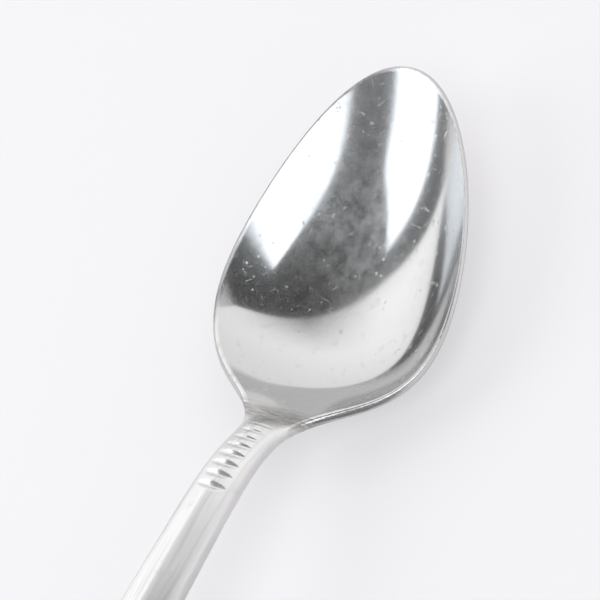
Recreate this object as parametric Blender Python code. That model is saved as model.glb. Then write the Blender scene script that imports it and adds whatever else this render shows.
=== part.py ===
"""Tablespoon: one piece of stainless steel, stamped from sheet, coined and polished.

The spoon lies bowl up with its tip at +X. Its underside touches z = 0 under the bowl and under the
end of the handle, and x = y = 0 is the middle of its length and width. Stations along the spoon are
measured from the neck, where the handle is narrowest: positive into the bowl, negative along the handle.
"""

import math

import bmesh
import bpy
import numpy as np

MM = 0.001

# Outline seen from above
LENGTH = 210 * MM
BOWL_LENGTH = 70 * MM
BOWL_WIDTH = 46.5 * MM
WIDEST_STATION = 30.9 * MM
NECK_STATION = 3.8 * MM
NECK_WIDTH = 8.3 * MM
HANDLE_TAPER = 0.028
TAPER_START = 6 * MM
HANDLE_FLARE = 0.12
END_ROUND = 9 * MM

# The blank is smaller than the outline by what the rounded edge adds
BOWL_EDGE = 0.5 * MM
HANDLE_EDGE = 0.93 * MM
TIP_STATION = BOWL_LENGTH - BOWL_EDGE

# Share of a rounded end's outline that the blank's side edges take, the rest being its end edge
CORNER_SHARE = 0.45

# How far the outline's curves run on before they turn, at the tip and the neck
TIP_BLUNTNESS = 0.58
TIP_FULLNESS = 0.35
NECK_RUN = 11.4 * MM

# Side view: height of the rim and of the handle's upper edge at a few stations
EDGE_LINE = (
    (-128 * MM, 1.5 * MM),
    (-108 * MM, 5.62 * MM),
    (-85 * MM, 13.02 * MM),
    (-60 * MM, 20.07 * MM),
    (-38 * MM, 22.67 * MM),
    (-16 * MM, 19.67 * MM),
    (-6 * MM, 17.67 * MM),
    (2 * MM, 14.82 * MM),
    (10 * MM, 10.16 * MM),
    (27 * MM, 8.95 * MM),
    (46 * MM, 10.6 * MM),
    (70 * MM, 14.0 * MM),
)

# Depth of the bowl below its rim, along the middle
DISH_DEPTH = (
    (6 * MM, 0.0 * MM),
    (9 * MM, 0.6 * MM),
    (12 * MM, 1.77 * MM),
    (16 * MM, 4.05 * MM),
    (22 * MM, 6.28 * MM),
    (36 * MM, 7.85 * MM),
    (53 * MM, 5.98 * MM),
    (TIP_STATION, 0.0 * MM),
)

# How much more than a parabola the bowl's section bulges towards its walls
WALL_BULGE = (
    (10 * MM, 0.05),
    (26 * MM, 0.20),
    (48 * MM, 0.07),
    (70 * MM, 0.07),
)

# Rise of the handle's crown above its edges, along the middle
CROWN_RISE = (
    (-140 * MM, 0.45 * MM),
    (-60 * MM, 0.95 * MM),
    (0 * MM, 1.25 * MM),
)
CROWN_SOFTNESS = 0.18

# The crown ends towards the bowl in a short slope with a rounded front
CROWN_FRONT = 8.6 * MM
CROWN_FRONT_RUN = 2.6 * MM
CROWN_FRONT_ROUND = 1.0 * MM

# Thickness of the steel at the edges and in the middle
EDGE_THICKNESS = (
    (-128 * MM, 1.5 * MM),
    (-60 * MM, 1.8 * MM),
    (0 * MM, 2.2 * MM),
    (14 * MM, 1.45 * MM),
    (26 * MM, 1.0 * MM),
    (70 * MM, 0.75 * MM),
)
MIDDLE_THICKNESS = (
    (-128 * MM, 1.5 * MM),
    (-60 * MM, 1.8 * MM),
    (0 * MM, 2.2 * MM),
    (29 * MM, 1.68 * MM),
    (70 * MM, 1.2 * MM),
)
EDGE_BULGE = 0.42

# Ribs coined across the crown at the neck: the groove nearest the bowl, the steps to the next ones
RIB_COUNT = 8
RIB_FIRST = 6.5 * MM
RIB_STEP = 1.42 * MM
RIB_STEP_GROWTH = 0.1 * MM
RIB_DEPTH = 0.42 * MM
RIB_HALF_WIDTH = 0.75 * MM
RIB_REACH = 0.68

# The first groove's share of the full depth and width, and the number of grooves over which it grows
RIB_LEAST = 0.4
RIB_GROWN = 4

# Coining only moves what faces up: this share of an upright normal or more
FACING_UP = 0.4

# Rows of faces along the spoon and columns across it
END_ROWS = 5
HANDLE_ROWS = 24
RIB_ROWS = 42
SHOULDER_ROWS = 14
TIP_ROWS = 16
COLUMNS = 24
EDGE_STEPS = 4
RIB_ROWS_FROM = -6.9 * MM
RIB_ROWS_TO = 9.0 * MM

# Steps in which a half width is found, and the least one that is divided by
HALVINGS = 40
SMALLEST_HALF = 1e-6 * MM

STEEL_COLOUR = (0.62, 0.61, 0.60, 1.0)
STEEL_ROUGHNESS = 0.12


def clear_scene():
    for old in list(bpy.data.objects):
        bpy.data.objects.remove(old, do_unlink=True)


def bezier(points, t):
    """Point of a cubic curve, for one value of t or an array of them."""
    a, b, c, d = points
    return a * (1 - t) ** 3 + 3 * b * (1 - t) ** 2 * t + 3 * c * (1 - t) * t ** 2 + d * t ** 3


def spline(knots, at):
    """Smooth curve through a few points, level at its first one and held beyond its ends."""
    x, z = np.array(knots).T
    gap = np.diff(x)
    slope = np.diff(z) / gap
    count = len(x)
    system = np.zeros((count, count))
    right = np.zeros(count)
    system[0, :2] = (2 * gap[0], gap[0])
    right[0] = 6 * slope[0]
    for k in range(1, count - 1):
        system[k, k - 1:k + 2] = (gap[k - 1], 2 * (gap[k - 1] + gap[k]), gap[k])
        right[k] = 6 * (slope[k] - slope[k - 1])
    system[-1, -1] = 1
    bend = np.linalg.solve(system, right)
    at = np.clip(at, x[0], x[-1])
    k = np.clip(np.searchsorted(x, at) - 1, 0, count - 2)
    ahead = x[k + 1] - at
    behind = at - x[k]
    cubic = (bend[k] * ahead ** 3 + bend[k + 1] * behind ** 3) / (6 * gap[k])
    start = (z[k] / gap[k] - bend[k] * gap[k] / 6) * ahead
    finish = (z[k + 1] / gap[k] - bend[k + 1] * gap[k] / 6) * behind
    return cubic + start + finish


def fade(low, high, at):
    """Smooth step from 0 at low to 1 at high."""
    share = np.clip((at - low) / (high - low), 0, 1)
    return share * share * (3 - 2 * share)


BOWL_HALF = BOWL_WIDTH / 2 - BOWL_EDGE
NECK_HALF = NECK_WIDTH / 2 - HANDLE_EDGE
END_STATION = BOWL_LENGTH - LENGTH + HANDLE_EDGE
END_START = END_STATION + END_ROUND
FRONT = TIP_STATION - WIDEST_STATION

# Both curves bend alike where they meet at the widest point
SHOULDER_RUN = TIP_FULLNESS * FRONT * math.sqrt((BOWL_HALF - NECK_HALF) / (BOWL_HALF * (1 - TIP_BLUNTNESS)))

# Outline curves, as stations and half widths: tip to widest point, widest point to neck
TIP_X = (TIP_STATION, TIP_STATION, WIDEST_STATION + TIP_FULLNESS * FRONT, WIDEST_STATION)
TIP_Y = (0, TIP_BLUNTNESS * BOWL_HALF, BOWL_HALF, BOWL_HALF)
SHOULDER_X = (WIDEST_STATION, WIDEST_STATION - SHOULDER_RUN, NECK_STATION + NECK_RUN, NECK_STATION)
SHOULDER_Y = (BOWL_HALF, BOWL_HALF, NECK_HALF, NECK_HALF)


def curve_height(curve_x, curve_y, at):
    """Half width of an outline curve at given stations, found by halving."""
    low = np.zeros_like(at)
    high = np.ones_like(at)
    for _ in range(HALVINGS):
        middle = (low + high) / 2
        beyond = bezier(curve_x, middle) > at
        low = np.where(beyond, middle, low)
        high = np.where(beyond, high, middle)
    return bezier(curve_y, (low + high) / 2)


def handle_half(at):
    run = np.maximum(NECK_STATION - at, 0)
    return NECK_HALF + HANDLE_TAPER * run ** 2 / (run + TAPER_START) + HANDLE_FLARE * run ** 2


def half_width(at):
    """Half width of the flat blank at given stations."""
    at = np.asarray(at, float)
    tip = curve_height(TIP_X, TIP_Y, np.maximum(at, WIDEST_STATION))
    shoulder = curve_height(SHOULDER_X, SHOULDER_Y, np.clip(at, NECK_STATION, WIDEST_STATION))
    into_end = np.clip((END_START - at) / END_ROUND, 0, 1)
    handle = handle_half(at) * np.sqrt(1 - into_end ** 2)
    return np.where(at > WIDEST_STATION, tip, np.where(at > NECK_STATION, shoulder, handle))


def rounded_end_row(share, across, straight_x, straight_half, rim):
    """Row of points that turns from a straight section into a rounded end as share goes to 1.

    rim(t) is the end's outline, from the side at t = 0 to the middle at t = 1.
    """
    side = np.sign(across)
    end_x, end_y = rim(CORNER_SHARE + (1 - CORNER_SHARE) * (1 - np.abs(across)))
    x = (1 - share) * straight_x + share * end_x
    y = (1 - share) * straight_half * across + share * end_y * side
    rim_x, rim_y = rim(share * CORNER_SHARE)
    corner_x, corner_y = rim(CORNER_SHARE)
    x = x + across ** 2 * (rim_x - (1 - share) * straight_x - share * corner_x)
    y = y + across * (rim_y - (1 - share) * straight_half - share * corner_y)
    return x, y


def tip_rim(t):
    return bezier(TIP_X, 1 - t), bezier(TIP_Y, 1 - t)


def end_rim(t):
    turn = t * math.pi / 2
    x = END_START - END_ROUND * np.sin(turn)
    return x, handle_half(x) * np.cos(turn)


def blank_rows():
    """Stations and offsets of the flat blank: one row of points per step along the spoon."""
    across = np.linspace(-1, 1, COLUMNS + 1)
    rows = []
    for share in np.linspace(1, 0, END_ROWS, endpoint=False):
        rows.append(rounded_end_row(share, across, END_START, handle_half(END_START), end_rim))
    stations = np.concatenate((
        np.linspace(END_START, RIB_ROWS_FROM, HANDLE_ROWS, endpoint=False),
        np.linspace(RIB_ROWS_FROM, RIB_ROWS_TO, RIB_ROWS, endpoint=False),
        np.linspace(RIB_ROWS_TO, WIDEST_STATION, SHOULDER_ROWS, endpoint=False),
    ))
    for station in stations:
        rows.append((np.full(COLUMNS + 1, station), half_width(station) * across))
    for share in np.linspace(0, 1, TIP_ROWS + 1):
        rows.append(rounded_end_row(share, across, WIDEST_STATION, BOWL_HALF, tip_rim))
    return np.array(rows)


def place_across(x, y):
    """Share of the half width at which each point lies, 0 in the middle and 1 at the edge."""
    half = np.maximum(half_width(x), SMALLEST_HALF)
    return np.clip(np.abs(y) / half, 0, 1)


def pressed_height(x, v):
    """Height of the sheet after the bowl is dished and the handle is arched."""
    section = (1 - v ** 2) * (1 + spline(WALL_BULGE, x) * v ** 2)
    return spline(EDGE_LINE, x) - spline(DISH_DEPTH, x) * section


def coined_rise(x, v):
    """What coining adds on top: the handle's crown, less the grooves between the ribs."""
    soft = CROWN_SOFTNESS
    gable = 1 - (np.sqrt(v ** 2 + soft ** 2) - soft) / (math.sqrt(1 + soft ** 2) - soft)
    front = CROWN_FRONT - CROWN_FRONT_ROUND * v ** 2
    crown = spline(CROWN_RISE, x) * gable * (1 - fade(front - CROWN_FRONT_RUN, front, x))
    lens = np.clip(1 - (v / RIB_REACH) ** 2, 0, 1)
    half = np.maximum(RIB_HALF_WIDTH * np.sqrt(lens), SMALLEST_HALF)
    grooves = np.zeros_like(x)
    for k in range(RIB_COUNT):
        middle = RIB_FIRST - RIB_STEP * k - RIB_STEP_GROWTH * k * (k - 1) / 2
        grown = min(1, RIB_LEAST + (1 - RIB_LEAST) * k / RIB_GROWN)
        away = np.clip(np.abs(x - middle) / (grown * half), 0, 1)
        grooves = grooves + grown * RIB_DEPTH * lens * (1 - away ** 2) ** 2
    return crown - grooves


def add_sheet(bm, points):
    """Grid of vertices and faces through rows of points."""
    verts = [[bm.verts.new(point) for point in row] for row in points]
    for here, after in zip(verts, verts[1:]):
        for k in range(COLUMNS):
            bm.faces.new((here[k], after[k], after[k + 1], here[k + 1]))
    return verts


def border(verts):
    """Vertices around a sheet, in order."""
    side = [row[-1] for row in verts]
    other = [row[0] for row in reversed(verts)]
    return verts[0][:-1] + side[:-1] + verts[-1][:0:-1] + other[:-1]


def spoon_mesh():
    rows = blank_rows()
    x = rows[:, 0]
    y = rows[:, 1]
    v = place_across(x, y)
    v[:, (0, -1)] = 1
    v[(0, -1), :] = 1
    sheet = np.stack((x, y, pressed_height(x, v)), axis=-1)

    bm = bmesh.new()
    top = add_sheet(bm, sheet)
    bm.normal_update()
    square = np.array([[vert.normal for vert in row] for row in top])
    square = square * np.sign(square[:, :, 2:])

    thickness = spline(MIDDLE_THICKNESS, x) * (1 - v ** 2) + spline(EDGE_THICKNESS, x) * v ** 2
    under = sheet - square * thickness[:, :, None]
    under[:, :, 2] = np.maximum(under[:, :, 2], 0)
    bottom = add_sheet(bm, under)

    top_ring = border(top)
    bottom_ring = border(bottom)
    rings = [top_ring]
    centre = [(a.co + b.co) / 2 for a, b in zip(top_ring, bottom_ring)]
    for step in range(1, EDGE_STEPS):
        turn = math.pi * step / EDGE_STEPS
        ring = []
        for k, (a, b) in enumerate(zip(top_ring, bottom_ring)):
            along = centre[(k + 1) % len(centre)] - centre[k - 1]
            through = a.co - b.co
            out = through.cross(along).normalized()
            bulge = EDGE_BULGE * through.length * math.sin(turn)
            ring.append(bm.verts.new(centre[k] + through * (math.cos(turn) / 2) + out * bulge))
        rings.append(ring)
    rings.append(bottom_ring)
    for upper, lower in zip(rings, rings[1:]):
        for k in range(len(upper)):
            after = (k + 1) % len(upper)
            bm.faces.new((upper[k], lower[k], lower[after], upper[after]))

    bmesh.ops.recalc_face_normals(bm, faces=bm.faces)
    bm.normal_update()
    points = np.array([vert.co for vert in bm.verts])
    facing = np.clip(np.array([vert.normal.z for vert in bm.verts]) / FACING_UP, 0, 1)
    outline = half_width(points[:, 0]) + EDGE_BULGE * spline(EDGE_THICKNESS, points[:, 0])
    rise = facing * coined_rise(points[:, 0], np.clip(np.abs(points[:, 1]) / outline, 0, 1))
    for vert, lift in zip(bm.verts, rise):
        vert.co.z += lift
    middle = (min(vert.co.x for vert in bm.verts) + max(vert.co.x for vert in bm.verts)) / 2
    for vert in bm.verts:
        vert.co.x -= middle

    mesh = bpy.data.meshes.new("spoon")
    bm.to_mesh(mesh)
    bm.free()
    mesh.shade_smooth()
    return mesh


def steel():
    material = bpy.data.materials.new("polished_steel")
    material.use_nodes = True
    shader = material.node_tree.nodes["Principled BSDF"]
    shader.inputs["Base Color"].default_value = STEEL_COLOUR
    shader.inputs["Metallic"].default_value = 1.0
    shader.inputs["Roughness"].default_value = STEEL_ROUGHNESS
    return material


def main():
    clear_scene()
    mesh = spoon_mesh()
    mesh.materials.append(steel())
    spoon = bpy.data.objects.new("spoon", mesh)
    bpy.context.collection.objects.link(spoon)


main()
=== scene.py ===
# %% [markdown]
# # A polished tablespoon, from flat blank to studio picture
#
# A tablespoon is one piece of stainless steel. The maker cuts a flat blank, rolls the bowl end thinner,
# presses the dish and the arched handle between two dies, coins small ribs across the neck, and then grinds
# and polishes the whole. This lesson follows the same steps in Blender.
#
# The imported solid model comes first, as a fixed frame. It gives the size and the place of the spoon, in
# metres: +X runs along the spoon to the tip of the bowl, +Z is up, and z = 0 is the table.

import math
from functools import partial

import bpy
import numpy as np
from mathutils import Matrix, Vector
from mathutils.kdtree import KDTree


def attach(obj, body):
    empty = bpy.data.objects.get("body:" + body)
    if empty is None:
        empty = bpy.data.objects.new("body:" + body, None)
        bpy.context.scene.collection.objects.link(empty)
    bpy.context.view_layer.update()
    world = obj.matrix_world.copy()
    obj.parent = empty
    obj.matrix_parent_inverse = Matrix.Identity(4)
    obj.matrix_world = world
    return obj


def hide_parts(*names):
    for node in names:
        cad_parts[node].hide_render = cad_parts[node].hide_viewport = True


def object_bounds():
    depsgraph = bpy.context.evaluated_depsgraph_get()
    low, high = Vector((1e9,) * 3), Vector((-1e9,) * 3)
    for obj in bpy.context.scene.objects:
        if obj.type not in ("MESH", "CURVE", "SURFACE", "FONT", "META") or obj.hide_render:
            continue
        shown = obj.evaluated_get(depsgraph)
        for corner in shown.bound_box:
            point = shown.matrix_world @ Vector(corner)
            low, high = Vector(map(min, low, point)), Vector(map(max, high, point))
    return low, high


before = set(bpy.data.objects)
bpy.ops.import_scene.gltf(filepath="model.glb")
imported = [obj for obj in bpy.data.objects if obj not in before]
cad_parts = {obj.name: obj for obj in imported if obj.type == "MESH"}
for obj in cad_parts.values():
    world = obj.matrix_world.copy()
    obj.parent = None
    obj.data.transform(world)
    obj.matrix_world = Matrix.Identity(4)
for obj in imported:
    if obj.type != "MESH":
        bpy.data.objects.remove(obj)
cad_low, cad_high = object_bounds()
MM = 0.001
sides = [round(side / MM, 1) for side in cad_high - cad_low]
print("frame of", list(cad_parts), "with sides in mm", sides)

# %% [markdown]
# ## The outline of the blank
#
# Seen from above, the bowl is an egg with its blunt side towards the handle, and the handle is a narrow
# neck that widens slowly to a round end. The outline could be traced as a long list of points, but two
# cubic curves and a taper need only about fifteen sizes, and they stay smooth however finely they are
# divided. That matters here, because a mirror finish shows every dent.
#
# Places along the spoon are stations, measured from the neck: positive into the bowl, negative along the
# handle. The blank is a little smaller than the finished outline, because the rounded edge is added later.

# %% Sizes of the outline
LENGTH = 210 * MM
BOWL_LENGTH = 70 * MM
BOWL_WIDTH = 46.5 * MM
WIDEST_STATION = 30.9 * MM
NECK_STATION = 3.8 * MM
NECK_WIDTH = 8.3 * MM
HANDLE_TAPER = 0.028
TAPER_START = 6 * MM
HANDLE_FLARE = 0.12
END_ROUND = 9 * MM
BOWL_EDGE = 0.5 * MM
HANDLE_EDGE = 0.93 * MM

bowl_half = BOWL_WIDTH / 2 - BOWL_EDGE
neck_half = NECK_WIDTH / 2 - HANDLE_EDGE
tip_station = BOWL_LENGTH - BOWL_EDGE
end_station = BOWL_LENGTH - LENGTH + HANDLE_EDGE
end_start = end_station + END_ROUND
print("blank from station", round(end_station / MM, 1), "to", round(tip_station / MM, 1), "mm")

# %% Curves of the outline
TIP_BLUNTNESS = 0.58
TIP_FULLNESS = 0.35
NECK_RUN = 11.4 * MM
HALVINGS = 40


def bezier(points, t):
    """Point of a cubic curve, for one value of t or an array of them."""
    a, b, c, d = points
    return a * (1 - t) ** 3 + 3 * b * (1 - t) ** 2 * t + 3 * c * (1 - t) * t ** 2 + d * t ** 3


def curve_height(curve_x, curve_y, at):
    """Half width of an outline curve at given stations, found by halving."""
    low = np.zeros_like(at)
    high = np.ones_like(at)
    for _ in range(HALVINGS):
        middle = (low + high) / 2
        beyond = bezier(curve_x, middle) > at
        low = np.where(beyond, middle, low)
        high = np.where(beyond, high, middle)
    return bezier(curve_y, (low + high) / 2)


# Both curves bend alike where they meet at the widest point
tip_run = TIP_FULLNESS * (tip_station - WIDEST_STATION)
shoulder_run = tip_run * math.sqrt((bowl_half - neck_half) / (bowl_half * (1 - TIP_BLUNTNESS)))
tip_x = (tip_station, tip_station, WIDEST_STATION + tip_run, WIDEST_STATION)
tip_y = (0, TIP_BLUNTNESS * bowl_half, bowl_half, bowl_half)
shoulder_x = (WIDEST_STATION, WIDEST_STATION - shoulder_run, NECK_STATION + NECK_RUN, NECK_STATION)
shoulder_y = (bowl_half, bowl_half, neck_half, neck_half)


def handle_half(at):
    run = np.maximum(NECK_STATION - at, 0)
    return neck_half + HANDLE_TAPER * run ** 2 / (run + TAPER_START) + HANDLE_FLARE * run ** 2


def half_width(at):
    """Half width of the flat blank at given stations."""
    at = np.asarray(at, float)
    tip = curve_height(tip_x, tip_y, np.maximum(at, WIDEST_STATION))
    shoulder = curve_height(shoulder_x, shoulder_y, np.clip(at, NECK_STATION, WIDEST_STATION))
    into_end = np.clip((end_start - at) / END_ROUND, 0, 1)
    handle = handle_half(at) * np.sqrt(1 - into_end ** 2)
    return np.where(at > WIDEST_STATION, tip, np.where(at > NECK_STATION, shoulder, handle))


print("handle is", round(2 * float(handle_half(end_start)) / MM, 1), "mm wide before its round end")

# %% [markdown]
# ## The blank as a grid
#
# The blank could be a filled outline, but then its faces would be long triangles that can't be pressed
# smoothly. A grid of squares flows along the spoon as the metal does. Its straight rows run across the
# handle and the bowl, and at both ends the square corners of the grid are laid round the outline, so no
# point is left where many edges meet. The rows lie closest at the neck, where the ribs are.

# %% Add the grid
END_ROWS = 14
HANDLE_ROWS = 70
RIB_ROWS = 130
SHOULDER_ROWS = 46
TIP_ROWS = 84
COLUMNS = 92
RIB_ROWS_FROM = -7.6 * MM
RIB_ROWS_TO = 9.2 * MM

rows = END_ROWS + HANDLE_ROWS + RIB_ROWS + SHOULDER_ROWS + TIP_ROWS
bpy.ops.object.select_all(action="DESELECT")
bpy.ops.mesh.primitive_grid_add(x_subdivisions=rows, y_subdivisions=COLUMNS, size=2)
spoon = bpy.context.object
spoon.name = "polished_spoon"
spoon.data.name = "polished_spoon"


def read_points(mesh):
    points = np.empty(len(mesh.vertices) * 3)
    mesh.vertices.foreach_get("co", points)
    return points.reshape(-1, 3)


def write_points(mesh, points):
    mesh.vertices.foreach_set("co", points.ravel())
    mesh.update()


square = read_points(spoon.data)
sheet_points = len(square)
print("grid of", rows, "rows and", COLUMNS, "columns:", sheet_points, "points")

# %% Lay the grid into the outline
CORNER_SHARE = 0.45


def rounded_end_row(share, across, straight_x, straight_half, rim):
    """Row of points that turns from a straight section into a rounded end as share goes to 1.

    rim(t) is the end's outline, from the side at t = 0 to the middle at t = 1.
    """
    side = np.sign(across)
    end_x, end_y = rim(CORNER_SHARE + (1 - CORNER_SHARE) * (1 - np.abs(across)))
    x = (1 - share) * straight_x + share * end_x
    y = (1 - share) * straight_half * across + share * end_y * side
    rim_x, rim_y = rim(share * CORNER_SHARE)
    corner_x, corner_y = rim(CORNER_SHARE)
    x = x + across ** 2 * (rim_x - (1 - share) * straight_x - share * corner_x)
    y = y + across * (rim_y - (1 - share) * straight_half - share * corner_y)
    return x, y


def tip_rim(t):
    return bezier(tip_x, 1 - t), bezier(tip_y, 1 - t)


def end_rim(t):
    turn = t * math.pi / 2
    x = end_start - END_ROUND * np.sin(turn)
    return x, handle_half(x) * np.cos(turn)


across = np.linspace(-1, 1, COLUMNS + 1)
blank = []
for share in np.linspace(1, 0, END_ROWS, endpoint=False):
    blank.append(rounded_end_row(share, across, end_start, handle_half(end_start), end_rim))
for first, last, count in (
    (end_start, RIB_ROWS_FROM, HANDLE_ROWS),
    (RIB_ROWS_FROM, RIB_ROWS_TO, RIB_ROWS),
    (RIB_ROWS_TO, WIDEST_STATION, SHOULDER_ROWS),
):
    for station in np.linspace(first, last, count, endpoint=False):
        blank.append((np.full(COLUMNS + 1, station), half_width(station) * across))
for share in np.linspace(0, 1, TIP_ROWS + 1):
    blank.append(rounded_end_row(share, across, WIDEST_STATION, bowl_half, tip_rim))
blank = np.array(blank)

row = np.rint((square[:, 0] + 1) / 2 * rows).astype(int)
column = np.rint((square[:, 1] + 1) / 2 * COLUMNS).astype(int)
station = blank[row, 0, column]
offset = blank[row, 1, column]
write_points(spoon.data, np.stack((station, offset, np.zeros(sheet_points)), axis=-1))
print("blank is", round(np.ptp(station) / MM, 1), "by", round(np.ptp(offset) / MM, 1), "mm")

# %% [markdown]
# ## Pressing the dish and the arch
#
# In the press, the rim stays highest, the bowl sinks below it, and the handle is bent into a long S that
# comes down to the table at its end. Sculpting or a lattice could do it, but a die is a smooth surface of
# exact heights, so each point is simply moved to the height of the die. One line gives the height of the
# edge along the spoon, a second one gives the depth of the bowl along its middle, and across the bowl the
# depth follows a parabola with slightly steeper walls.

# %% Lines of the die
EDGE_LINE = (
    (-128 * MM, 1.5 * MM),
    (-108 * MM, 5.62 * MM),
    (-85 * MM, 13.02 * MM),
    (-60 * MM, 20.07 * MM),
    (-38 * MM, 22.67 * MM),
    (-16 * MM, 19.67 * MM),
    (-6 * MM, 17.67 * MM),
    (2 * MM, 14.82 * MM),
    (10 * MM, 10.16 * MM),
    (27 * MM, 8.95 * MM),
    (46 * MM, 10.6 * MM),
    (70 * MM, 14.0 * MM),
)
DISH_DEPTH = (
    (6 * MM, 0.0 * MM),
    (9 * MM, 0.6 * MM),
    (12 * MM, 1.77 * MM),
    (16 * MM, 4.05 * MM),
    (22 * MM, 6.28 * MM),
    (36 * MM, 7.85 * MM),
    (53 * MM, 5.98 * MM),
    (tip_station, 0.0 * MM),
)
WALL_BULGE = (
    (10 * MM, 0.05),
    (26 * MM, 0.20),
    (48 * MM, 0.07),
    (70 * MM, 0.07),
)


def spline(knots, at):
    """Smooth curve through a few points, level at its first one and held beyond its ends."""
    x, z = np.array(knots).T
    gap = np.diff(x)
    slope = np.diff(z) / gap
    count = len(x)
    system = np.zeros((count, count))
    right = np.zeros(count)
    system[0, :2] = (2 * gap[0], gap[0])
    right[0] = 6 * slope[0]
    for k in range(1, count - 1):
        system[k, k - 1:k + 2] = (gap[k - 1], 2 * (gap[k - 1] + gap[k]), gap[k])
        right[k] = 6 * (slope[k] - slope[k - 1])
    system[-1, -1] = 1
    bend = np.linalg.solve(system, right)
    at = np.clip(at, x[0], x[-1])
    k = np.clip(np.searchsorted(x, at) - 1, 0, count - 2)
    ahead = x[k + 1] - at
    behind = at - x[k]
    cubic = (bend[k] * ahead ** 3 + bend[k + 1] * behind ** 3) / (6 * gap[k])
    start = (z[k] / gap[k] - bend[k] * gap[k] / 6) * ahead
    finish = (z[k + 1] / gap[k] - bend[k + 1] * gap[k] / 6) * behind
    return cubic + start + finish


deepest = max(depth for _, depth in DISH_DEPTH)
print("die sinks the bowl by", round(deepest / MM, 2), "mm at its deepest point")

# %% Press the blank
SMALLEST_HALF = 1e-6 * MM
HALF_ROW = 0.5

to_edge = np.clip(np.abs(offset) / np.maximum(half_width(station), SMALLEST_HALF), 0, 1)
to_edge[np.abs(square[:, :2]).max(axis=1) > 1 - HALF_ROW / rows] = 1
section = (1 - to_edge ** 2) * (1 + spline(WALL_BULGE, station) * to_edge ** 2)
height = spline(EDGE_LINE, station) - spline(DISH_DEPTH, station) * section
write_points(spoon.data, np.stack((station, offset, height), axis=-1))
print("pressed sheet is", round(np.ptp(height) / MM, 1), "mm high")

# %% [markdown]
# ## Thickness of the steel
#
# The blank is thickest at the neck, 2.2 mm. The bowl was rolled thinner, to between 1.2 and 1.7 mm in its
# middle and between 0.75 and 1 mm at its rim, and the handle thins to 1.5 mm at its end. The Solidify
# modifier gives a sheet its thickness along its normals, and a vertex group scales that from place to
# place. With an offset of -1 the pressed surface stays where it is and the back is added below it. The back
# is flat where the spoon rests on the table, under the bowl and under the end of the handle.

# %% Solidify the sheet
EDGE_THICKNESS = (
    (-128 * MM, 1.5 * MM),
    (-60 * MM, 1.8 * MM),
    (0 * MM, 2.2 * MM),
    (14 * MM, 1.45 * MM),
    (26 * MM, 1.0 * MM),
    (70 * MM, 0.75 * MM),
)
MIDDLE_THICKNESS = (
    (-128 * MM, 1.5 * MM),
    (-60 * MM, 1.8 * MM),
    (0 * MM, 2.2 * MM),
    (29 * MM, 1.68 * MM),
    (70 * MM, 1.2 * MM),
)
THICKEST = 2.4 * MM

thickness = spline(MIDDLE_THICKNESS, station) * (1 - to_edge ** 2)
thickness += spline(EDGE_THICKNESS, station) * to_edge ** 2
group = spoon.vertex_groups.new(name="thickness")
for k, thick in enumerate(thickness):
    group.add([k], float(thick / THICKEST), "REPLACE")
solidify = spoon.modifiers.new("thickness", "SOLIDIFY")
solidify.thickness = THICKEST
solidify.offset = -1
solidify.vertex_group = group.name
bpy.ops.object.modifier_apply(modifier=solidify.name)
spoon.vertex_groups.clear()

points = read_points(spoon.data)
points[sheet_points:, 2] = np.maximum(points[sheet_points:, 2], 0)
write_points(spoon.data, points)
print("closed shell of", len(points), "points, lowest at", round(points[:, 2].min() / MM, 3), "mm")

# %% [markdown]
# ## The rounded edge
#
# After stamping, the edge is ground so that it doesn't cut the lip: fully round along the handle, and round
# the bowl with a flatter face between two rounded corners. Solidify left a flat band round the spoon. A
# Bevel modifier could round it, but where the steel gets thinner its two arcs run into each other. Here the
# band is cut into thin rings, and each ring goes out to its place on the edge's own section: half of the
# thickness up or down, and a share of the thickness outwards. A power of 2 makes that section an ellipse,
# and a higher one makes it flatter.

# %% Cut the band into rings
EDGE_RINGS = 7

mesh = spoon.data
bpy.ops.object.mode_set(mode="EDIT")
bpy.ops.mesh.select_mode(type="EDGE")
bpy.ops.mesh.select_all(action="DESELECT")
bpy.ops.object.mode_set(mode="OBJECT")
border = []
for edge in mesh.edges:
    upper, lower = sorted(edge.vertices)
    edge.select = lower - upper == sheet_points
    if edge.select:
        border.append(upper)
bpy.ops.object.mode_set(mode="EDIT")
bpy.ops.mesh.subdivide(number_cuts=EDGE_RINGS)
bpy.ops.object.mode_set(mode="OBJECT")
print(len(border), "edges of the band cut into", EDGE_RINGS + 1, "parts each")

# %% Round the rings
EDGE_BULGE = 0.42
HANDLE_ROUND = 2.0
BOWL_ROUND = 4.0
ROUND_FROM = 9 * MM
ROUND_TO = 15 * MM


def fade(low, high, at):
    """Smooth step from 0 at low to 1 at high."""
    share = np.clip((at - low) / (high - low), 0, 1)
    return share * share * (3 - 2 * share)


upper_edge = points[border]
through = points[[k + sheet_points for k in border]] - upper_edge
steps = EDGE_RINGS + 1
flat_places = KDTree(len(border) * EDGE_RINGS)
for ring in range(1, steps):
    for k, start in enumerate(upper_edge):
        flat_places.insert(start + through[k] * ring / steps, ring * len(border) + k)
flat_places.balance()
points = read_points(mesh)
outward = np.array([vert.normal for vert in mesh.vertices])
for k in range(2 * sheet_points, len(points)):
    ring, at = divmod(flat_places.find(points[k])[1], len(border))
    level = math.cos(math.pi * ring / steps)
    power = HANDLE_ROUND + (BOWL_ROUND - HANDLE_ROUND) * fade(ROUND_FROM, ROUND_TO, upper_edge[at][0])
    bulge = EDGE_BULGE * np.linalg.norm(through[at]) * (1 - abs(level) ** power) ** (1 / power)
    points[k] = upper_edge[at] + through[at] * (1 - level) / 2 + outward[k] * bulge
write_points(mesh, points)
print("edge rounded:", len(mesh.polygons), "faces, widest", round(np.ptp(points[:, 1]) / MM, 2), "mm")

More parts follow.
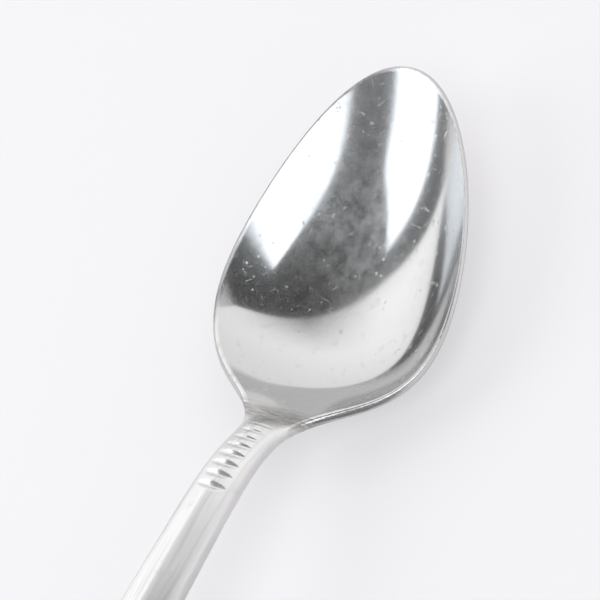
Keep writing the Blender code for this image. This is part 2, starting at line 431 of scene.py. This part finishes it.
# %% [markdown]
# ## Coining the crown and the ribs
#
# A coining die squeezes the top of the handle into a soft ridge, like a low roof with a rounded top, and
# cuts eight short grooves across that ridge where the handle meets the bowl. They could be drawn as bump in
# the material, but they catch the light at their edges and show in the outline, so they are real shape:
# only the points of the upper surface are moved, and the back stays smooth.

# %% Coin the upper surface
CROWN_RISE = (
    (-140 * MM, 0.45 * MM),
    (-60 * MM, 0.95 * MM),
    (0 * MM, 1.25 * MM),
)
CROWN_SOFTNESS = 0.18
CROWN_FRONT = 8.6 * MM
CROWN_FRONT_RUN = 2.6 * MM
CROWN_FRONT_ROUND = 1.0 * MM
RIB_COUNT = 8
RIB_FIRST = 6.5 * MM
RIB_STEP = 1.42 * MM
RIB_STEP_GROWTH = 0.1 * MM
RIB_DEPTH = 0.42 * MM
RIB_HALF_WIDTH = 0.75 * MM
RIB_REACH = 0.68
RIB_LEAST = 0.4
RIB_GROWN = 4
FACING_UP = 0.4

points = read_points(mesh)
station = points[:, 0]
outline = half_width(station) + EDGE_BULGE * spline(EDGE_THICKNESS, station)
to_outline = np.clip(np.abs(points[:, 1]) / outline, 0, 1)
roof = np.sqrt(to_outline ** 2 + CROWN_SOFTNESS ** 2) - CROWN_SOFTNESS
gable = 1 - roof / (math.sqrt(1 + CROWN_SOFTNESS ** 2) - CROWN_SOFTNESS)
crown_front = CROWN_FRONT - CROWN_FRONT_ROUND * to_outline ** 2
crown = spline(CROWN_RISE, station) * gable
crown *= 1 - fade(crown_front - CROWN_FRONT_RUN, crown_front, station)
lens = np.clip(1 - (to_outline / RIB_REACH) ** 2, 0, 1)
lens_half = np.maximum(RIB_HALF_WIDTH * np.sqrt(lens), SMALLEST_HALF)
grooves = np.zeros(len(points))
for k in range(RIB_COUNT):
    middle = RIB_FIRST - RIB_STEP * k - RIB_STEP_GROWTH * k * (k - 1) / 2
    grown = min(1, RIB_LEAST + (1 - RIB_LEAST) * k / RIB_GROWN)
    away = np.clip(np.abs(station - middle) / (grown * lens_half), 0, 1)
    grooves += grown * RIB_DEPTH * lens * (1 - away ** 2) ** 2
upward = np.array([vert.normal.z for vert in mesh.vertices])
points[:, 2] += (crown - grooves) * np.clip(upward / FACING_UP, 0, 1)
write_points(mesh, points)
print("crown", round(crown.max() / MM, 2), "mm high with", RIB_COUNT, "grooves of", RIB_DEPTH / MM, "mm")

# %% [markdown]
# ## Where the finish changes
#
# Not all of the steel shines alike. The inside of the bowl is polished to a mirror, and its front half is
# hazy from years of plates and scourers. The handle and the top of the rim are only buffed to a satin, the
# outside of the bowl and its rim still show the grinding, and just in front of the ribs the steel is given
# a darker colour with fine streaks across. One material for each would leave hard borders. Numbers on each
# point fade from one finish into the next instead, and a single material reads them as attributes.

# %% Store the finish on the points
BOWL_CENTRE = 35 * MM
SATIN_OUT = (4 * MM, 13 * MM)
RIM_TURN = 0.5
WORN_IN = (20 * MM, 68 * MM)
HAZE_IN = (25 * MM, 45 * MM)
HAZE_OUT = (46 * MM, 58 * MM)
HAZE_AT_TIP = 0.4
HAZE_SIDE = 5 * MM
HAZE_SPREAD = 9 * MM
CROSSED_IN = (6.8 * MM, 8.4 * MM)
CROSSED_OUT = (9.4 * MM, 11.6 * MM)

normals = np.array([vert.normal for vert in mesh.vertices])
outwards = points[:, :2] - (BOWL_CENTRE, 0)
outwards /= np.linalg.norm(outwards, axis=1)[:, None]
outside = np.clip((normals[:, :2] * outwards).sum(axis=1) / RIM_TURN, 0, 1)
on_rim = np.zeros(len(points))
on_rim[2 * sheet_points:] = 1
on_rim[border] = 1
on_handle = 1 - fade(*SATIN_OUT, station)
ground = outside * (1 - on_handle)
satin = np.maximum(on_handle, on_rim * (1 - ground))
wear = fade(*WORN_IN, station)
haze = fade(*HAZE_IN, station) * (1 - (1 - HAZE_AT_TIP) * fade(*HAZE_OUT, station))
haze *= np.exp(-((points[:, 1] - HAZE_SIDE) / HAZE_SPREAD) ** 2)
crossed = fade(*CROSSED_IN, station) * (1 - fade(*CROSSED_OUT, station))
finish = {"satin": satin, "ground": ground, "wear": wear, "haze": haze, "crossed": crossed}
for name, values in finish.items():
    mesh.attributes.new(name, "FLOAT", "POINT").data.foreach_set("value", values)
print("satin on", round(100 * satin.mean()), "% of the points, wear on", round(100 * wear.mean()), "%")

# %% [markdown]
# ## In its place
#
# So far the spoon was measured from its neck. The frame measures from the middle of its length, so all
# points move along x, and the object itself stays at the origin. Smooth shading hides the faces.

# %% Put the spoon in its place
middle_x = (points[:, 0].min() + points[:, 0].max()) / 2
points[:, 0] += (cad_low.x + cad_high.x) / 2 - middle_x
write_points(mesh, points)
bpy.ops.object.shade_smooth()
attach(spoon, "root")
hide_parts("spoon")
print("spoon from", (points.min(axis=0) / MM).round(2), "to", (points.max(axis=0) / MM).round(2), "mm")

# %% [markdown]
# ## Polished and worn steel
#
# Polished steel has almost no colour of its own: it shows the room. What tells a used spoon from a chrome
# ball is the scatter on top of the mirror. Thousands of hair scratches, finer than can be seen one by one,
# throw a faint haze round every bright reflection. One even roughness would only blur the mirror, so the
# roughness switches between mirror and scratch at the size of the scratches themselves, and softer noise
# decides how dense they are. Longer scratches, dried spots and dull smudges are added at the size they
# have, and the satin of the handle has streaks along it, as a buffing wheel leaves them.
#
# Most patterns are made in the same way: noise of some grain size, of which a span of values is stretched
# over the range that is wanted. A span is written as four numbers: from, to, and the results at both ends.

# %% A material for the steel
SPAN_SOCKETS = ("From Min", "From Max", "To Min", "To Max")

steel = bpy.data.materials.new("polished_steel")
steel.use_nodes = True
steel_tree = steel.node_tree


def node_feed(tree, socket, value):
    """Give a socket a number or a colour, or link it to another node's output."""
    if isinstance(value, bpy.types.NodeSocket):
        tree.links.new(value, socket)
    else:
        socket.default_value = value


def node_math(tree, operation, *values, clamp=False):
    node = tree.nodes.new("ShaderNodeMath")
    node.operation = operation
    node.use_clamp = clamp
    for socket, value in zip(node.inputs, values):
        node_feed(tree, socket, value)
    return node.outputs["Value"]


def node_span(tree, value, *numbers):
    """Stretch a span of values over another one, and hold them at its ends."""
    node = tree.nodes.new("ShaderNodeMapRange")
    for name, number in zip(SPAN_SOCKETS, numbers):
        node.inputs[name].default_value = number
    tree.links.new(value, node.inputs["Value"])
    return node.outputs["Result"]


print("steel starts with", len(steel_tree.nodes), "nodes")

# %% Patterns in the steel
place = steel_tree.nodes.new("ShaderNodeTexCoord").outputs["Object"]
feed = partial(node_feed, steel_tree)
combine = partial(node_math, steel_tree)
span = partial(node_span, steel_tree)


def attribute(name):
    node = steel_tree.nodes.new("ShaderNodeAttribute")
    node.attribute_name = name
    return node.outputs["Fac"]


def noise(size, detail, stretch=(1, 1, 1), turn=0):
    """Noise with grains of some size, stretched along x, y and z and turned about z by degrees."""
    grain = steel_tree.nodes.new("ShaderNodeMapping")
    grain.vector_type = "TEXTURE"
    grain.inputs["Rotation"].default_value = (0, 0, math.radians(turn))
    grain.inputs["Scale"].default_value = [size * factor for factor in stretch]
    feed(grain.inputs["Vector"], place)
    node = steel_tree.nodes.new("ShaderNodeTexNoise")
    node.inputs["Scale"].default_value = 1.0
    node.inputs["Detail"].default_value = detail
    feed(node.inputs["Vector"], grain.outputs["Vector"])
    return node.outputs["Fac"]


def blend(first, second, share, kind="Float"):
    """Mix of two numbers, or of two colours where kind is Color."""
    node = steel_tree.nodes.new("ShaderNodeMix")
    node.data_type = "RGBA" if kind == "Color" else "FLOAT"
    sockets = {socket.identifier: socket for socket in node.inputs}
    feed(sockets["Factor_Float"], share)
    feed(sockets["A_" + kind], first)
    feed(sockets["B_" + kind], second)
    return next(output for output in node.outputs if output.identifier == "Result_" + kind)


print("steel reads", ", ".join(finish))

# %% Hair scratches and haze
HAIR = 0.03 * MM
HAIR_SPAN = (0.6, 0.78, 0.0, 1.0)
MOTTLE = 2.4 * MM
MOTTLE_SPAN = (0.32, 0.68, 0.09, 0.31)
CLOUD = 8 * MM
CLOUD_SPAN = (0.35, 0.65, 0.0, 0.02)

mottle = combine("MULTIPLY", span(noise(MOTTLE, detail=4), *MOTTLE_SPAN), attribute("haze"))
cloud = span(noise(CLOUD, detail=2), *CLOUD_SPAN)
density = combine("ADD", mottle, cloud)
hair = span(combine("ADD", noise(HAIR, detail=0), density), *HAIR_SPAN)
print("hair scratches of", HAIR / MM, "mm in mottles of", MOTTLE / MM, "mm")

# %% Long scratches
SCRATCH = 0.12 * MM
SCRATCH_STRETCH = (26, 1, 26)
SCRATCH_TURNS = (24, 78, -48)
SCRATCH_SPAN = (0.75, 0.82, 0.0, 1.0)

scratch = 0.0
for turn in SCRATCH_TURNS:
    lines = noise(SCRATCH, detail=1, stretch=SCRATCH_STRETCH, turn=turn)
    scratch = combine("MAXIMUM", scratch, span(lines, *SCRATCH_SPAN))
print("long scratches of", SCRATCH / MM, "mm in", len(SCRATCH_TURNS), "directions")

# %% Dried spots in a thin film
SPOT = 1.3 * MM
SPOT_SPAN = (0.67, 0.75, 0.0, 1.0)
FILM_SPAN = (0.64, 0.76, 0.0, 1.0)

spot = span(noise(SPOT, detail=4), *SPOT_SPAN)
film = span(noise(SPOT, detail=3), *FILM_SPAN)
print("dried spots up to", SPOT / MM, "mm")

# %% Shine of the steel
MIRROR = 0.08
WORN_MIRROR = 0.15
SCUFFED = 0.45
SPOTTED = 0.4
FILMED = 0.34
GROUND = 0.25
STREAK = 0.4 * MM
STREAK_STRETCH = (60, 1, 60)
BUFFED_SPAN = (0.3, 0.7, 0.26, 0.42)

shader = steel_tree.nodes["Principled BSDF"]
streak = noise(STREAK, detail=3, stretch=STREAK_STRETCH)
worn = attribute("wear")
mirror = blend(MIRROR, WORN_MIRROR, combine("MULTIPLY", worn, worn))
mirror = blend(mirror, FILMED, film)
mirror = blend(mirror, SCUFFED, combine("MAXIMUM", hair, scratch))
mirror = blend(mirror, SPOTTED, spot)
polished = blend(mirror, span(streak, *BUFFED_SPAN), attribute("satin"))
feed(shader.inputs["Roughness"], blend(polished, GROUND, attribute("ground")))
shader.inputs["Metallic"].default_value = 1.0
print("roughness from", MIRROR, "on the mirror to", SCUFFED, "in a scratch")

# %% Relief of the steel
RELIEF = 0.006 * MM
GRIT = 0.35 * MM
CROSS_STREAK = 0.3 * MM
CROSS_STRETCH = (1, 9, 9)
STREAK_RELIEF = 1.6
GRIT_RELIEF = 5.0
CROSS_RELIEF = 2.5

cross = noise(CROSS_STREAK, detail=2, stretch=CROSS_STRETCH)
dents = combine("MAXIMUM", scratch, spot)
for pattern, where, depth in (
    (streak, "satin", STREAK_RELIEF),
    (noise(GRIT, detail=2), "ground", GRIT_RELIEF),
    (cross, "crossed", CROSS_RELIEF),
):
    marks = combine("MULTIPLY", combine("MULTIPLY", pattern, attribute(where)), depth)
    dents = combine("ADD", dents, marks)
bump = steel_tree.nodes.new("ShaderNodeBump")
bump.inputs["Strength"].default_value = 1.0
bump.inputs["Distance"].default_value = RELIEF
feed(bump.inputs["Height"], combine("SUBTRACT", 1.0, dents))
feed(shader.inputs["Normal"], bump.outputs["Normal"])
print("relief of", RELIEF / MM, "mm in a scratch")

# %% Colour of the steel
STEEL_COLOUR = (0.546, 0.546, 0.546, 1.0)
BUFFED_COLOUR = (0.69, 0.682, 0.68, 1.0)
DULL_COLOUR = (0.3, 0.292, 0.279, 1.0)
SMUDGE = 2.5 * MM
SMUDGE_SPAN = (0.6, 0.76, 0.0, 0.25)
CROSS_SPAN = (0.3, 0.6, 0.35, 1.0)
BROAD_STREAK = 0.9 * MM
BROAD_STRETCH = (20, 1, 20)
BROAD_SPAN = (0.45, 0.7, 0.0, 0.35)

dull = span(noise(SMUDGE, detail=5), *SMUDGE_SPAN)
broad = noise(BROAD_STREAK, detail=3, stretch=BROAD_STRETCH)
for pattern, numbers, where in ((cross, CROSS_SPAN, "crossed"), (broad, BROAD_SPAN, "satin")):
    patch = combine("MULTIPLY", span(pattern, *numbers), attribute(where))
    dull = combine("MAXIMUM", dull, patch)
bare = blend(STEEL_COLOUR, BUFFED_COLOUR, attribute("satin"), "Color")
feed(shader.inputs["Base Color"], blend(bare, DULL_COLOUR, dull, "Color"))
mesh.materials.clear()
mesh.materials.append(steel)
print("steel has", len(steel_tree.nodes), "nodes")

# %% [markdown]
# ## The table
#
# The spoon lies on white paper. Lit until it is quite white in the picture, the paper would need so much
# light that the steel would burn out. The camera therefore sees a part of the paper as plain white, through
# the Light Path node, and the rest as lit paper, which keeps the shadow. Mirrors see the same paper as the
# camera does.

# %% Table
TABLE_SIDE = 20.0

bpy.ops.object.select_all(action="DESELECT")
bpy.ops.mesh.primitive_plane_add(size=TABLE_SIDE)
table = bpy.context.object
table.name = "table"
print("table of", TABLE_SIDE, "m")

# %% White paper
PAPER_COLOUR = (0.913, 0.885, 0.9, 1.0)
PAPER_WHITE = (0.96, 0.955, 0.975, 1.0)
PAPER_GLOW = 0.45
PAPER_ROUGHNESS = 0.9

paper = bpy.data.materials.new("table_paper")
paper.use_nodes = True
paper_tree = paper.node_tree
lit_paper = paper_tree.nodes["Principled BSDF"]
lit_paper.inputs["Base Color"].default_value = PAPER_COLOUR
lit_paper.inputs["Roughness"].default_value = PAPER_ROUGHNESS
lit_paper.inputs["Specular IOR Level"].default_value = 0.0
white_paper = paper_tree.nodes.new("ShaderNodeEmission")
white_paper.inputs["Color"].default_value = PAPER_WHITE
rays = paper_tree.nodes.new("ShaderNodeLightPath").outputs
seen = node_math(paper_tree, "MAXIMUM", rays["Is Camera Ray"], rays["Is Glossy Ray"])
seen = node_math(paper_tree, "MAXIMUM", seen, rays["Is Transmission Ray"])
both = paper_tree.nodes.new("ShaderNodeMixShader")
node_feed(paper_tree, both.inputs["Fac"], node_math(paper_tree, "MULTIPLY", seen, PAPER_GLOW))
node_feed(paper_tree, both.inputs[1], lit_paper.outputs["BSDF"])
node_feed(paper_tree, both.inputs[2], white_paper.outputs["Emission"])
paper_output = paper_tree.nodes["Material Output"]
node_feed(paper_tree, paper_output.inputs["Surface"], both.outputs["Shader"])
table.data.materials.append(paper)
print("paper seen", round(100 * PAPER_GLOW), "% white")

# %% [markdown]
# ## Two softboxes
#
# A mirror shows its lights as shapes: the two white tongues in the bowl are the images of two softboxes. An
# area lamp would do for a plain rectangle, but one box has a corner that is cut off round and the other one
# fades along a side. So each is a panel of its own, a quad laid by its corners, with a material that glows.
# The camera doesn't see the panels, only the light they give and their images in the steel.
#
# A softbox faces the bowl from a direction. From there it is shifted and turned in its own plane.

# %% A panel that glows
BOWL_MIDDLE = Vector((75 * MM, 0, 3 * MM))
BLACK = (0.0, 0.0, 0.0, 1.0)


def glowing_panel(name, corners, colour):
    """Stage quad that gives light, from its corners: low left, low right, high left, high right."""
    bpy.ops.object.select_all(action="DESELECT")
    bpy.ops.mesh.primitive_plane_add()
    panel = bpy.context.object
    panel.name = name
    write_points(panel.data, np.array(corners, float))
    glow = bpy.data.materials.new(name)
    glow.use_nodes = True
    glow_shader = glow.node_tree.nodes["Principled BSDF"]
    glow_shader.inputs["Base Color"].default_value = BLACK
    glow_shader.inputs["Specular IOR Level"].default_value = 0.0
    glow_shader.inputs["Emission Color"].default_value = colour
    panel.data.materials.append(glow)
    panel.visible_camera = False
    return panel, glow_shader.inputs["Emission Strength"], glow.node_tree


print("lights are set out from", [round(part / MM) for part in BOWL_MIDDLE], "mm in the bowl")

# %% Place of a softbox
SOFTBOX_DISTANCE = 0.7
SOFTBOX_GLOW = 2.82
SOFTBOX_COLOUR = (0.9, 0.95, 1.0, 1.0)


def softbox(name, towards, shift, turn, size):
    facing = Vector(towards).normalized()
    level = Vector((0, 0, 1)).cross(facing).normalized()
    rising = facing.cross(level)
    angle = math.radians(turn)
    side = (level * math.cos(angle) + rising * math.sin(angle)) * size[0] / 2
    up = (rising * math.cos(angle) - level * math.sin(angle)) * size[1] / 2
    centre = BOWL_MIDDLE + facing * SOFTBOX_DISTANCE + level * shift[0] + rising * shift[1]
    corners = (centre - side - up, centre + side - up, centre - side + up, centre + side + up)
    return glowing_panel(name, corners, SOFTBOX_COLOUR)


print("softboxes", SOFTBOX_DISTANCE, "m from the bowl")

# %% Far softbox with a round corner
FAR_TOWARDS = (-0.1, 1.1, 1)
FAR_SHIFT = (0.2263, -0.1516)
FAR_TURN = 25
FAR_SIZE = (0.368, 0.65)
FAR_CORNER = 3
FAR_ROUND = 0.085
FAR_ROUND_STEPS = 8

far_box, far_glow, _ = softbox("far_softbox", FAR_TOWARDS, FAR_SHIFT, FAR_TURN, FAR_SIZE)
far_glow.default_value = SOFTBOX_GLOW
bpy.ops.object.mode_set(mode="EDIT")
bpy.ops.mesh.select_mode(type="VERT")
bpy.ops.mesh.select_all(action="DESELECT")
bpy.ops.object.mode_set(mode="OBJECT")
far_box.data.vertices[FAR_CORNER].select = True
bpy.ops.object.mode_set(mode="EDIT")
bpy.ops.mesh.bevel(offset=FAR_ROUND, segments=FAR_ROUND_STEPS, affect="VERTICES")
bpy.ops.object.mode_set(mode="OBJECT")
print("far softbox of", FAR_SIZE, "m with", len(far_box.data.vertices), "corners")

# %% Near softbox that fades along a side
NEAR_TOWARDS = (-0.5, -0.2, 1)
NEAR_SHIFT = (0.1323, 0.0422)
NEAR_TURN = 47.5
NEAR_SIZE = (0.476, 0.361)
NEAR_FADE = 0.2
LEAST_FADE = 0.005


def node_place(tree, output):
    """The x, y and z of a kind of coordinates."""
    node = tree.nodes.new("ShaderNodeSeparateXYZ")
    kinds = tree.nodes.new("ShaderNodeTexCoord").outputs
    tree.links.new(kinds[output], node.inputs["Vector"])
    return node.outputs


_, near_glow, near_tree = softbox("near_softbox", NEAR_TOWARDS, NEAR_SHIFT, NEAR_TURN, NEAR_SIZE)
across_box, up_box, _ = node_place(near_tree, "UV")
to_side = node_math(near_tree, "SUBTRACT", 1.0, across_box)
to_top = node_math(near_tree, "SUBTRACT", 1.0, up_box)
softness = node_math(near_tree, "MULTIPLY_ADD", to_top, NEAR_FADE, LEAST_FADE)
lit = node_math(near_tree, "DIVIDE", to_side, softness, clamp=True)
node_feed(near_tree, near_glow, node_math(near_tree, "MULTIPLY", lit, SOFTBOX_GLOW))
print("near softbox of", NEAR_SIZE, "m, fading over up to", round(100 * NEAR_FADE), "% of its width")

# %% [markdown]
# ## White walls
#
# The bright half of the bowl towards the handle is the image of a long white wall beyond the tip. A wall of
# one even white would look like paint in the steel. This one gets brighter to its far end, darker towards
# its foot and darker in a soft patch at its top, so its glow is worked out from the place on the wall. A
# second panel goes on from the near end of the wall to the near side, and gets lower on its way.

# %% Long wall
WALL_HEIGHT = 1.53
WALL_DISTANCE = 0.45
WALL_TURN = 0.1
WALL_NEAR = -0.6
WALL_FAR = 9.0
WALL_GLOW_SPAN = (WALL_NEAR, 1.2, 1.36, 1.7)
FOOT_SPAN = (0.06, 0.085, 0.82, 1.0)
LOW_SPAN = (0.2, 1.0, 0.83, 1.0)
SHADE_MIDDLE = 0.5
SHADE_ACROSS_SPAN = (0.0, 0.9, 1.0, 0.0)
SHADE_UP_SPAN = (0.7, 1.5, 0.0, 0.7)
WHITE = (1.0, 1.0, 1.0, 1.0)


def wall_foot(along):
    return Vector((BOWL_MIDDLE.x + WALL_DISTANCE - WALL_TURN * along, along, 0))


def raised(foot, height):
    return foot + Vector((0, 0, height))


near_foot = wall_foot(WALL_NEAR)
far_foot = wall_foot(WALL_FAR)
corners = (near_foot, far_foot, raised(near_foot, WALL_HEIGHT), raised(far_foot, WALL_HEIGHT))
_, wall_strength, wall_tree = glowing_panel("white_wall", corners, WHITE)
_, wall_y, wall_z = node_place(wall_tree, "Object")
away = node_math(wall_tree, "ABSOLUTE", node_math(wall_tree, "SUBTRACT", wall_y, SHADE_MIDDLE))
shade = node_math(
    wall_tree, "MULTIPLY",
    node_span(wall_tree, away, *SHADE_ACROSS_SPAN),
    node_span(wall_tree, wall_z, *SHADE_UP_SPAN),
)
wall_glow = node_span(wall_tree, wall_y, *WALL_GLOW_SPAN)
for factor in (
    node_span(wall_tree, wall_z, *FOOT_SPAN),
    node_span(wall_tree, wall_z, *LOW_SPAN),
    node_math(wall_tree, "SUBTRACT", 1.0, shade),
):
    wall_glow = node_math(wall_tree, "MULTIPLY", wall_glow, factor)
node_feed(wall_tree, wall_strength, wall_glow)
print("wall", WALL_HEIGHT, "m high and", WALL_FAR - WALL_NEAR, "m long")

# %% Side panel
PANEL_RADIUS = 0.74
PANEL_TURN = math.radians(-78)
PANEL_WALL_HEIGHT = 1.6
PANEL_END_HEIGHT = 1.15
PANEL_GLOW_SPAN = (0.4, 0.9, 1.2, 0.72)
PANEL_TOP_SPAN = (0.88, 1.0, 1.0, 0.08)

panel_end = Vector((
    BOWL_MIDDLE.x + PANEL_RADIUS * math.cos(PANEL_TURN),
    PANEL_RADIUS * math.sin(PANEL_TURN),
    0,
))
panel_tops = raised(near_foot, PANEL_WALL_HEIGHT), raised(panel_end, PANEL_END_HEIGHT)
_, side_strength, side_tree = glowing_panel("side_panel", (near_foot, panel_end, *panel_tops), WHITE)
_, up_panel, _ = node_place(side_tree, "UV")
side_glow = node_math(
    side_tree, "MULTIPLY",
    node_span(side_tree, up_panel, *PANEL_GLOW_SPAN),
    node_span(side_tree, up_panel, *PANEL_TOP_SPAN),
)
node_feed(side_tree, side_strength, side_glow)
print("side panel from", PANEL_WALL_HEIGHT, "m down to", PANEL_END_HEIGHT, "m high")

# %% [markdown]
# ## The dark room
#
# What is neither lamp nor wall in the steel is the room, and it is dark: that gives the bowl its dark band.
# A picture of a room would bring its own shapes along, and a few slopes of grey by direction are enough: a
# dim ceiling that gets lighter over the handle, a pale horizon, and low white screens on the near and the
# far side. Where they meet, the brightest one counts.

# %% Room
ROOM_COLOUR = (1.0, 0.99, 0.98, 1.0)
ROOM_DARK = 0.054
CEILING_SPAN = (0.25, -0.6, ROOM_DARK, 0.24)
HORIZON_TILT = 0.3
HORIZON_SPAN = (-0.3, 0.45, 0.96, ROOM_DARK)
NEAR_SCREEN_SIDE = (-0.45, -0.6, 0.0, 1.02)
NEAR_SCREEN_TOP = (0.6, 0.75, 1.0, 0.0)
FAR_SCREEN_SIDE = (0.3, 0.5, 0.0, 1.0)
FAR_SCREEN_TOP = (0.1, 0.2, 1.0, 0.0)

world = bpy.data.worlds.new("room")
world.use_nodes = True
bpy.context.scene.world = world
room_tree = world.node_tree
room_x, room_y, room_z = node_place(room_tree, "Generated")
lift = node_math(room_tree, "MULTIPLY_ADD", room_y, HORIZON_TILT, room_z)
room_glow = node_math(
    room_tree, "MAXIMUM",
    node_span(room_tree, room_x, *CEILING_SPAN),
    node_span(room_tree, lift, *HORIZON_SPAN),
)
for side_span, top_span in ((NEAR_SCREEN_SIDE, NEAR_SCREEN_TOP), (FAR_SCREEN_SIDE, FAR_SCREEN_TOP)):
    screen = node_math(
        room_tree, "MULTIPLY",
        node_span(room_tree, room_y, *side_span),
        node_span(room_tree, room_z, *top_span),
    )
    room_glow = node_math(room_tree, "MAXIMUM", room_glow, screen)
background = room_tree.nodes["Background"]
background.inputs["Color"].default_value = ROOM_COLOUR
node_feed(room_tree, background.inputs["Strength"], room_glow)
print("room is", ROOM_DARK, "at its darkest")

# %% [markdown]
# ## The camera
#
# The camera looks down into the bowl from the near side and is rolled, so that the spoon lies across the
# picture from the lower left to the upper right and the end of the handle is outside it. Three angles say
# this in plain words: the direction from the spoon to the camera, as azimuth and elevation, and the roll. A
# long lens keeps the near rim from looking much larger than the far one.

# %% Camera
CAMERA_PLACE = Vector((2.2 * MM, -166.2 * MM, 214.65 * MM))
CAMERA_AZIMUTH = math.radians(-109.668)
CAMERA_ELEVATION = math.radians(48.442)
CAMERA_ROLL = math.radians(22.745)
CAMERA_LENS = 102
CAMERA_NEAREST = 10 * MM

back = Vector((
    math.cos(CAMERA_ELEVATION) * math.cos(CAMERA_AZIMUTH),
    math.cos(CAMERA_ELEVATION) * math.sin(CAMERA_AZIMUTH),
    math.sin(CAMERA_ELEVATION),
))
along_spoon = Vector((1, 0, 0))
upright = (along_spoon - back * along_spoon.dot(back)).normalized()
right = upright.cross(back)
turned_right = right * math.cos(CAMERA_ROLL) + upright * math.sin(CAMERA_ROLL)
turned_up = upright * math.cos(CAMERA_ROLL) - right * math.sin(CAMERA_ROLL)
camera_turn = Matrix((turned_right, turned_up, back)).transposed()
optics = bpy.data.cameras.new("camera")
optics.lens = CAMERA_LENS
optics.clip_start = CAMERA_NEAREST
camera = bpy.data.objects.new("camera", optics)
bpy.context.collection.objects.link(camera)
camera.matrix_world = Matrix.Translation(CAMERA_PLACE) @ camera_turn.to_4x4()
bpy.context.scene.camera = camera
bpy.context.scene.view_settings.view_transform = "Standard"
print("camera", round((CAMERA_PLACE - BOWL_MIDDLE).length / MM), "mm from the bowl")
